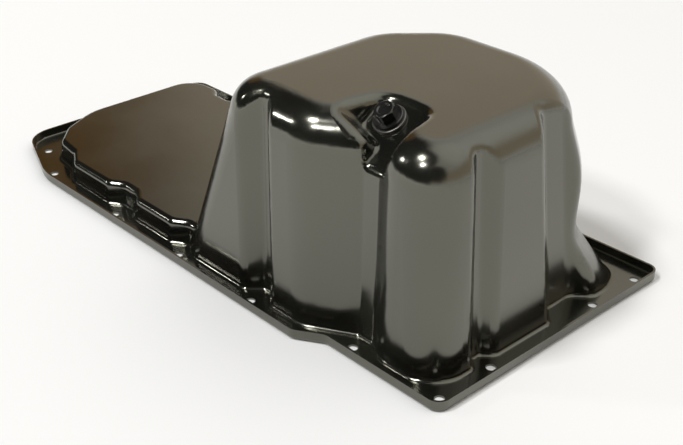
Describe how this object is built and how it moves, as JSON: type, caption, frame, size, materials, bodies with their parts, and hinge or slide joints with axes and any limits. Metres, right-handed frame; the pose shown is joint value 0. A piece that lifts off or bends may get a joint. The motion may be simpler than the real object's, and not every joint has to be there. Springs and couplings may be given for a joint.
{
  "type": "engine oil pan",
  "caption": "Stepped sheet-steel engine oil pan: a shallow tray runs into a deep fluted sump with a drain plug on a sloping seat and a drilled flange with a turned-up lip.",
  "frame": {"origin": "middle of the flange's outline, on the gasket face; the pan rests on that face with its sump up", "axes": "+X from the shallow tray to the deep sump, +Y away from the drain plug's side, +Z from the gasket face to the floor of the sump"},
  "size_m": [0.512, 0.245, 0.1573],
  "materials": {
    "black_paint": "smooth glossy black dip paint over pressed steel",
    "plug_plating": "dark zinc plating, worn bright on the collar's rim",
    "gasket_metal": "dark metal sealing ring",
    "nut_paint": "glossy black dip paint, painted with the pan"
  },
  "bodies": {
    "pan": {"pan_shell": "black_paint", "drain_plug_nut": "nut_paint"},
    "gasket": {"drain_plug_gasket": "gasket_metal"},
    "plug": {"drain_plug": "plug_plating"}
  },
  "joints": [
    {"name": "plug_travel", "type": "slide", "parent": "pan", "child": "gasket", "axis": [0, -0.5299, 0.848], "range_m": [0, 0.0135]},
    {"name": "plug_turn", "type": "hinge", "parent": "gasket", "child": "plug", "pos_m": [0.1535, -0.0532, 0.144], "axis": [0, -0.5299, 0.848], "range_deg": [0, 3240]}
  ],
  "couplings": [
    {"joint": "plug_turn", "follows": "plug_travel", "rad_per_m": 4188.8}
  ]
}
